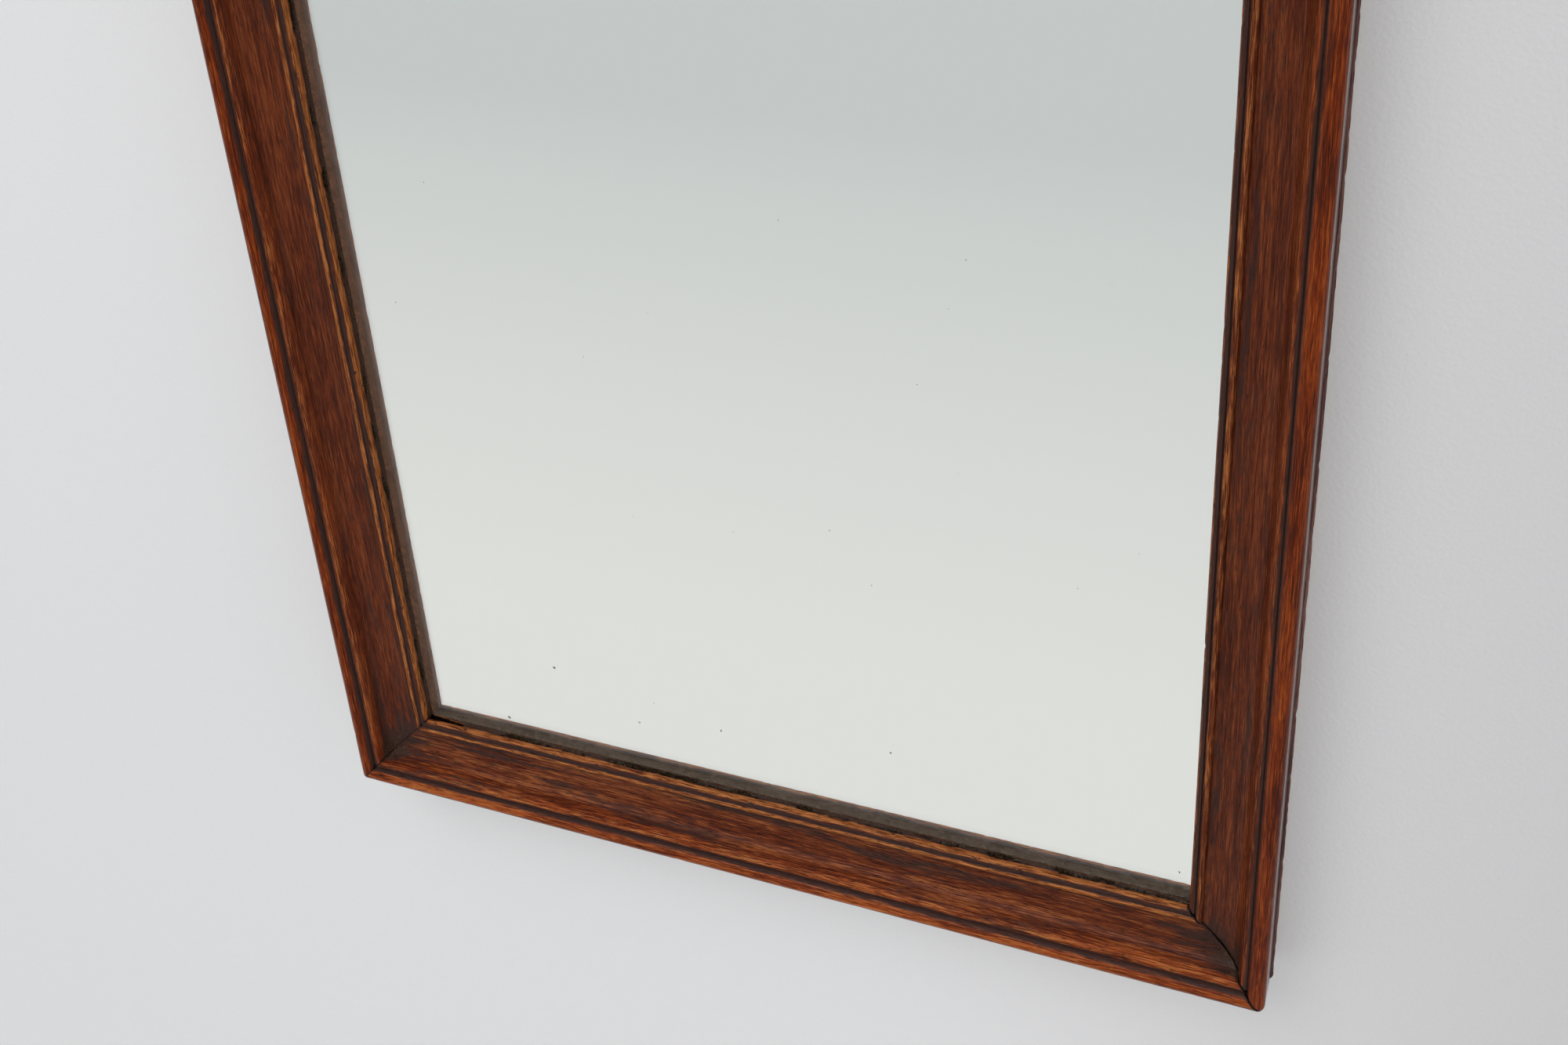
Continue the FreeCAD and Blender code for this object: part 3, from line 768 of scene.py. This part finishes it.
# Silver laid on the glass by chemistry: a mirror as smooth as the glass, with the faintest green. Damp has
# eaten a few grey specks through it, nearly all of them low down.
silver, tree = new_finish("chemical_silvering")
place = add_node(tree, "ShaderNodeTexCoord").outputs["Object"]
height = add_node(tree, "ShaderNodeSeparateXYZ", {0: place}).outputs["Z"]
low = add_node(tree, "ShaderNodeMapRange", {0: height, 1: (SIGHT_FOOT + 20) * MM,
                                            2: (SIGHT_FOOT + 95) * MM, 3: 0.4, 4: 0.999})
spots = add_node(tree, "ShaderNodeTexVoronoi", {"Vector": place, "Scale": 1 / (SPECK_SPACING * MM),
                                                "Randomness": 1.0})
lot = add_node(tree, "ShaderNodeSeparateColor", {0: spots.outputs["Color"]})
size = add_node(tree, "ShaderNodeMapRange", {0: lot.outputs[0], 1: low.outputs[0], 2: 1.0,
                                             3: 0.02, 4: 0.07})
frayed = add_node(tree, "ShaderNodeTexNoise", {"Vector": place, "Scale": 1 / (SPECK_FRAY * MM),
                                               "Detail": 2})
edge = add_node(tree, "ShaderNodeMath", {0: frayed.outputs[0], 1: size.outputs[0]}, operation="MULTIPLY")
reach = add_node(tree, "ShaderNodeMath", {0: edge.outputs[0], 1: 1.6}, operation="MULTIPLY")
lost = add_node(tree, "ShaderNodeMath", {0: spots.outputs["Distance"], 1: reach.outputs[0]},
                operation="LESS_THAN")
bright = add_node(tree, "ShaderNodeBsdfPrincipled", {"Base Color": linear("#f3f5f2"), "Metallic": 1.0,
                                                     "Roughness": 0.0})
bald = add_node(tree, "ShaderNodeBsdfPrincipled", {"Base Color": linear("#6f6a62"), "Roughness": 0.8})
spotted = add_node(tree, "ShaderNodeMixShader", {0: lost.outputs[0], 1: bright.outputs[0],
                                                 2: bald.outputs[0]})
add_node(tree, "ShaderNodeOutputMaterial", {"Surface": spotted.outputs[0]})
print(silver.name, "with specks about", SPECK_SPACING, "mm apart")

# %% [markdown]
# ## The two sheets
# Both sheets are flat and square-edged, so each is a cube, scaled and moved. The CAD sheets touch, and two
# faces in one place would flicker. So the silver starts a hair inside the glass, and the glass stops a hair
# short of the moulding.

# %% Cut the glass and the silver
# in mm
HAIR = 0.05
GLASS_HALF = (260.5, 410.5)
GLASS_FRONT, GLASS_BACK, SILVER_BACK, SILVER_INSET = 11, 7, 6.9, 0.3


def make_sheet(name, node, finish, front, back, inset):
    bm = bmesh.new()
    bmesh.ops.create_cube(bm, size=1)
    half_width, half_height = (half - inset for half in GLASS_HALF)
    bmesh.ops.scale(bm, verts=bm.verts, vec=Vector((2 * half_width, front - back, 2 * half_height)) * MM)
    bmesh.ops.translate(bm, verts=bm.verts, vec=Vector((0, -(front + back) / 2, CENTRE_Z)) * MM)
    piece = link_mesh(name, bm, finish)
    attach(piece, "frame")
    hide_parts(node)
    return piece


make_sheet("polished_glass", "mirror_glass", glass, GLASS_FRONT - HAIR, GLASS_BACK, 0)
make_sheet("silver_coat", "silvering", silver, GLASS_BACK + HAIR, SILVER_BACK, SILVER_INSET)
print("glass", [2 * half for half in GLASS_HALF], "mm")

# %% [markdown]
# ## Flat-sawn pine
# The back is closed with pine. Flat-sawn boards show long pointed arches, because the saw cuts across
# growth rings that taper with the trunk. A stretched wave texture gives only straight lines. So the cut is
# made in numbers: the distance to a pith line below the board, stretched along the grain, counts the rings.

# %% Make the pine finish
# Growth rings are 2 to 4 mm apart where they are cut square, which a view of the whole back can't show, so
# they are drawn wider.
RING, GRAIN_STRETCH = 8.0, 0.05
DARK_EDGE = 5


# Flat-sawn pine that was planed, never finished, and has gone brown: matt, with soft pale wood between dark
# narrow rings, a few knots, and darker along the long edges of each board.
def flat_sawn_pine(name, middle, half_width, pith, paleness):
    finish, tree = new_finish(name)
    place = add_node(tree, "ShaderNodeTexCoord").outputs["Object"]
    off_pith = add_node(tree, "ShaderNodeVectorMath", {0: place, 1: pith}, operation="SUBTRACT").outputs[0]
    drawn_out = add_node(tree, "ShaderNodeVectorMath", {0: off_pith, 1: (1, 1, GRAIN_STRETCH)},
                         operation="MULTIPLY").outputs[0]
    sway = add_node(tree, "ShaderNodeTexNoise", {"Vector": drawn_out, "Scale": 1 / (24 * MM), "Detail": 3})
    swayed = add_node(tree, "ShaderNodeMath", {0: sway.outputs[0], 1: 26 * MM}, operation="MULTIPLY")
    radius = add_node(tree, "ShaderNodeVectorMath", {0: drawn_out}, operation="LENGTH").outputs["Value"]
    rings = add_node(tree, "ShaderNodeMath", {0: radius, 1: swayed.outputs[0]}, operation="ADD")
    count = add_node(tree, "ShaderNodeMath", {0: rings.outputs[0], 1: 1 / (RING * MM)},
                     operation="MULTIPLY")
    year = add_node(tree, "ShaderNodeMath", {0: count.outputs[0]}, operation="FRACT")
    wood = add_node(tree, "ShaderNodeValToRGB", {0: year.outputs[0]})
    fill_ramp(wood.color_ramp, ((0.0, "#b18d5c"), (0.55, "#a67f4e"), (0.88, "#7c5530"), (1.0, "#b18d5c")))

    grain = grain_patterns(tree, "upright")
    worked = add_node(tree, "ShaderNodeMapRange", {0: grain["fibre"], 1: 0.35, 2: 0.65, 3: 0.78, 4: 1.12})
    aged = add_node(tree, "ShaderNodeTexNoise", {"Vector": place, "Scale": 1 / (130 * MM), "Detail": 5})
    tan = add_node(tree, "ShaderNodeMapRange", {0: aged.outputs[0], 1: 0.35, 2: 0.68,
                                                3: 0.7 * paleness, 4: 1.08 * paleness})
    shade = add_node(tree, "ShaderNodeMath", {0: worked.outputs[0], 1: tan.outputs[0]},
                     operation="MULTIPLY")
    toned = add_node(tree, "ShaderNodeVectorMath", {0: wood.outputs[0], "Scale": shade.outputs[0]},
                     operation="SCALE")
    knots = add_node(tree, "ShaderNodeTexVoronoi", {"Vector": drawn_out, "Scale": 1 / (75 * MM)})
    lot = add_node(tree, "ShaderNodeSeparateColor", {0: knots.outputs["Color"]})
    kept = add_node(tree, "ShaderNodeMath", {0: lot.outputs[0], 1: 0.72}, operation="GREATER_THAN")
    near = add_node(tree, "ShaderNodeMapRange", {0: knots.outputs["Distance"], 1: 0.075, 2: 0.045})
    knot = add_node(tree, "ShaderNodeMath", {0: near.outputs[0], 1: kept.outputs[0]}, operation="MULTIPLY")
    knotted = add_node(tree, "ShaderNodeMix", {FACTOR: knot.outputs[0], COLOUR_A: toned.outputs[0],
                                               COLOUR_B: linear("#4a2b17")}, data_type="RGBA")
    off_middle = add_node(tree, "ShaderNodeVectorMath", {0: place, 1: middle}, operation="SUBTRACT")
    across = add_node(tree, "ShaderNodeSeparateXYZ", {0: off_middle.outputs[0]}).outputs["X"]
    aside = add_node(tree, "ShaderNodeMath", {0: across}, operation="ABSOLUTE")
    joint = add_node(tree, "ShaderNodeMapRange", {0: aside.outputs[0], 1: half_width - DARK_EDGE * MM,
                                                  2: half_width, 3: 0.0, 4: 0.9})
    darker_at_edges = add_node(tree, "ShaderNodeMix", {FACTOR: joint.outputs[0],
                                             COLOUR_A: knotted.outputs[COLOUR_OUT],
                                             COLOUR_B: linear("#2b1c10")}, data_type="RGBA")
    bump = add_node(tree, "ShaderNodeBump", {"Strength": 0.35, "Distance": 0.3 * MM,
                                             "Height": grain["fibre"]})
    board = add_node(tree, "ShaderNodeBsdfPrincipled", {
        "Base Color": darker_at_edges.outputs[COLOUR_OUT], "Roughness": 0.75, "Specular IOR Level": 0.2,
        "Normal": bump.outputs[0]})
    add_node(tree, "ShaderNodeOutputMaterial", {"Surface": board.outputs[0]})
    return finish


print("rings", RING, "mm apart, drawn out", round(1 / GRAIN_STRETCH), "times along the grain")

# %% [markdown]
# ## Backboards
# Three thin boards lie side by side. The CAD boards are plain slabs that read as one sheet. A bump could
# draw the joints, but not where they meet the frame. So each board is a new slab with its long edges eased,
# which leaves a small V at each joint, and each is cut from its own tree.

# %% Make the boards
EASED = 1.5
# node: pith across and along from the middle of the board, and below it, in mm, then how pale the board is
BOARDS = {
    "left_backboard": (-22, 260, 34, 0.92),
    "middle_backboard": (35, -330, 26, 1.06),
    "right_backboard": (8, 90, 42, 0.84),
}

for node, (across, along, below, paleness) in BOARDS.items():
    low, high = (Vector(corner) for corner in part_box(node))
    middle = (low + high) / 2
    bm = bmesh.new()
    bmesh.ops.create_cube(bm, size=1)
    bmesh.ops.scale(bm, verts=bm.verts, vec=high - low)
    bmesh.ops.translate(bm, verts=bm.verts, vec=middle)
    arrises = [e for e in bm.edges if abs(e.verts[0].co.z - e.verts[1].co.z) > 0.1]
    bmesh.ops.bevel(bm, geom=arrises, offset=EASED * MM, affect="EDGES", segments=2, profile=0.5,
                    material=-1)
    pith = middle + Vector((across, -below, along)) * MM
    half_width = (high.x - low.x) / 2
    sawn = flat_sawn_pine("flat_sawn_pine_" + node.split("_")[0], middle, half_width, pith, paleness)
    piece = link_mesh("eased_" + node, bm, sawn)
    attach(piece, "frame")
    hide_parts(node)
    print(piece.name, [round(c / MM, 1) for c in high - low], "mm")

# %% [markdown]
# ## Oak for the back frame
# Behind the mouldings lies a second frame of oak. It was stained only where it shows, at the side, and left
# bare behind. Two materials on separate faces would meet in a hard line, so one finish changes with depth:
# painted black in the quirk as shade, stained along the side, raw at the back.

# %% Make the back oak
# Oak again, stained where it shows at the side, painted black in the quirk as shade, and bare grey brown
# behind.
def back_oak(lie):
    finish, tree = new_finish("oak_back_frame_" + lie)
    grain = grain_patterns(tree, lie)
    tone = add_node(tree, "ShaderNodeMix", {0: 0.5, 2: grain["band"], 3: grain["fibre"]}).outputs[0]
    stained = add_node(tree, "ShaderNodeValToRGB", {0: tone})
    fill_ramp(stained.color_ramp, ((0.40, "#2a1512"), (0.5, "#553028"), (0.62, "#7a5244")))
    raw = add_node(tree, "ShaderNodeValToRGB", {0: tone})
    fill_ramp(raw.color_ramp, ((0.38, "#5a3f28"), (0.5, "#80603f"), (0.62, "#9c7a52")))
    spot = add_node(tree, "ShaderNodeTexCoord").outputs["Object"]
    place = add_node(tree, "ShaderNodeSeparateXYZ", {0: spot})
    behind = add_node(tree, "ShaderNodeMapRange", {0: place.outputs["Y"], 1: -0.6 * MM, 2: -0.1 * MM})
    both = add_node(tree, "ShaderNodeMix", {FACTOR: behind.outputs[0], COLOUR_A: stained.outputs[0],
                                            COLOUR_B: raw.outputs[0]}, data_type="RGBA")
    hole = add_node(tree, "ShaderNodeMapRange", {0: grain["pore"], 1: 0.57, 2: 0.66, 3: 0.0, 4: 0.7})
    pored = add_node(tree, "ShaderNodeMix", {FACTOR: hole.outputs[0], COLOUR_A: both.outputs[COLOUR_OUT],
                                             COLOUR_B: linear("#23140c")}, data_type="RGBA")
    # painted shade: the front of the side, in the quirk, turns near black
    quirk = add_node(tree, "ShaderNodeMapRange", {0: place.outputs["Y"], 1: -10.5 * MM, 2: -7.5 * MM,
                                                  3: 0.95, 4: 0.0})
    quirk_shaded = add_node(tree, "ShaderNodeMix", {FACTOR: quirk.outputs[0], COLOUR_A: pored.outputs[COLOUR_OUT],
                                              COLOUR_B: linear("#140806")}, data_type="RGBA")
    wood = add_node(tree, "ShaderNodeBsdfPrincipled", {"Base Color": quirk_shaded.outputs[COLOUR_OUT],
                                                       "Roughness": 0.6, "Specular IOR Level": 0.1})
    add_node(tree, "ShaderNodeOutputMaterial", {"Surface": wood.outputs[0]})
    return finish


back_finish = {lie: back_oak(lie) for lie in AXES}
print("back oak:", [finish.name for finish in back_finish.values()])

# %% [markdown]
# ## Back frame
# Four flat members carry the mouldings. Only their rounded outer edge shows from the front, as a dark strip
# behind the quirk, nicked all along from knocks. Displacing the CAD mesh as it is would do nothing, because
# its long triangles have no points to move. So a copy is merged, its outer band is cut across every few
# millimetres, and the points there are pushed in by noise. All its screw holes stay.

# %% Wear the back frame
# in mm: the distance between cuts, and where the outer band starts, out from the sight edge
DENT_STEP, DENTED = 2.0, 44.0


def wear_back_member(side, seed):
    along, outward, distance, half = SIDES[side]
    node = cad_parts[side + "_back_member"]
    bm = bmesh.new()
    bm.from_mesh(node.data)
    bm.transform(node.matrix_world)
    bmesh.ops.remove_doubles(bm, verts=bm.verts, dist=0.001 * MM)
    middle = Vector((0, 0, CENTRE_Z * MM))

    def lies(v):
        return (v.co - middle).dot(along) / MM, (v.co - middle).dot(outward) / MM - distance

    steps = int((half + MOULDING) / DENT_STEP)
    ahead = [f for f in bm.faces if all(lies(v)[1] > DENTED for v in f.verts)]
    for step in range(-steps, steps + 1):
        station = step * DENT_STEP
        band = ahead + list({e for f in ahead for e in f.edges}) + list({v for f in ahead for v in f.verts})
        cut = bmesh.ops.bisect_plane(bm, geom=band, plane_co=middle + along * station * MM, plane_no=along,
                                     dist=0.01 * MM)
        ahead = [f for f in cut["geom"] if isinstance(f, bmesh.types.BMFace)
                 and max(lies(v)[0] for v in f.verts) > station + 0.1]
    for v in bm.verts:
        run, out = lies(v)
        if out > DENTED:
            dent = 0.5 * max(0, cloud(run / 13, v.co.y / MM / 7, seed))
            dent += 0.9 * max(0, cloud(run / 4, v.co.y / MM / 4, seed + 3) - 0.08)
            v.co -= outward * dent * MM
    piece = link_mesh("worn_" + side + "_back_member", bm, back_finish["level" if along.x else "upright"])
    piece.data.shade_smooth()
    piece.data.set_sharp_from_angle(angle=math.radians(35))
    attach(piece, "frame")
    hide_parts(side + "_back_member")
    return piece


for number, side in enumerate(SIDES):
    piece = wear_back_member(side, 7.7 * (number + 1))
    print(piece.name, "has", len(piece.data.vertices), "points")

# %% [markdown]
# ## Sawn wood and old metal
# Packers and tongues are sawn wood, hangers are brass that has dulled, screws and pins are steel. Scratches
# and rust could be painted on each, but the pieces are small and out of the way. So each finish is one
# noise through a ramp of two or three colours.

# %% Make the finishes of the fittings
# Sawn softwood and beech: pale, matt, with straight grain.
def sawn_wood(name, lie, stops):
    finish, tree = new_finish(name)
    grain = grain_patterns(tree, lie)
    tone = add_node(tree, "ShaderNodeMix", {0: 0.35, 2: grain["band"], 3: grain["fibre"]}).outputs[0]
    shade = add_node(tree, "ShaderNodeValToRGB", {0: tone})
    fill_ramp(shade.color_ramp, stops)
    bump = add_node(tree, "ShaderNodeBump", {"Strength": 0.4, "Distance": 0.3 * MM,
                                             "Height": grain["fibre"]})
    wood = add_node(tree, "ShaderNodeBsdfPrincipled", {
        "Base Color": shade.outputs[0], "Roughness": 0.75, "Specular IOR Level": 0.25,
        "Normal": bump.outputs[0]})
    add_node(tree, "ShaderNodeOutputMaterial", {"Surface": wood.outputs[0]})
    return finish


# Old metal has lost its polish in patches: a soft shine with darker blotches a few millimetres across.
def old_metal(name, clean, dull, roughness, patch):
    finish, tree = new_finish(name)
    place = add_node(tree, "ShaderNodeTexCoord").outputs["Object"]
    blotch = add_node(tree, "ShaderNodeTexNoise", {"Vector": place, "Scale": 1 / (patch * MM), "Detail": 5})
    shade = add_node(tree, "ShaderNodeValToRGB", {0: blotch.outputs[0]})
    fill_ramp(shade.color_ramp, ((0.38, dull), (0.62, clean)))
    metal = add_node(tree, "ShaderNodeBsdfPrincipled", {"Base Color": shade.outputs[0], "Metallic": 1.0,
                                                        "Roughness": roughness})
    add_node(tree, "ShaderNodeOutputMaterial", {"Surface": metal.outputs[0]})
    return finish


pine = sawn_wood("sawn_pine", "upright", ((0.38, "#7a5836"), (0.5, "#a27b4e"), (0.62, "#bd9762")))
beech = sawn_wood("sawn_beech", "level", ((0.4, "#a5774c"), (0.6, "#c59a6b")))
brass = old_metal("dulled_brass", "#a98748", "#6b5229", 0.38, 4)
steel = old_metal("grey_steel", "#8f8e8b", "#4b4039", 0.42, 3)
print("fittings of", [finish.name for finish in (pine, beech, brass, steel)])

# %% [markdown]
# ## Fittings
# The small pieces were turned, bent and sawn to plain shapes, and the CAD part has those already. Modelling
# them again would add nothing, so they stay as they are and only get their finishes, by the last word of
# their names.

# %% Finish the fittings
FITTINGS = {"packers": pine, "tongue": beech, "strap": brass, "ring": brass, "screws": steel,
            "pins": steel}

finished = 0
for name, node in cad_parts.items():
    finish = FITTINGS.get(name.split("_")[-1])
    if finish:
        node.data.materials.clear()
        node.data.materials.append(finish)
        finished += 1
print("finished fittings:", finished)
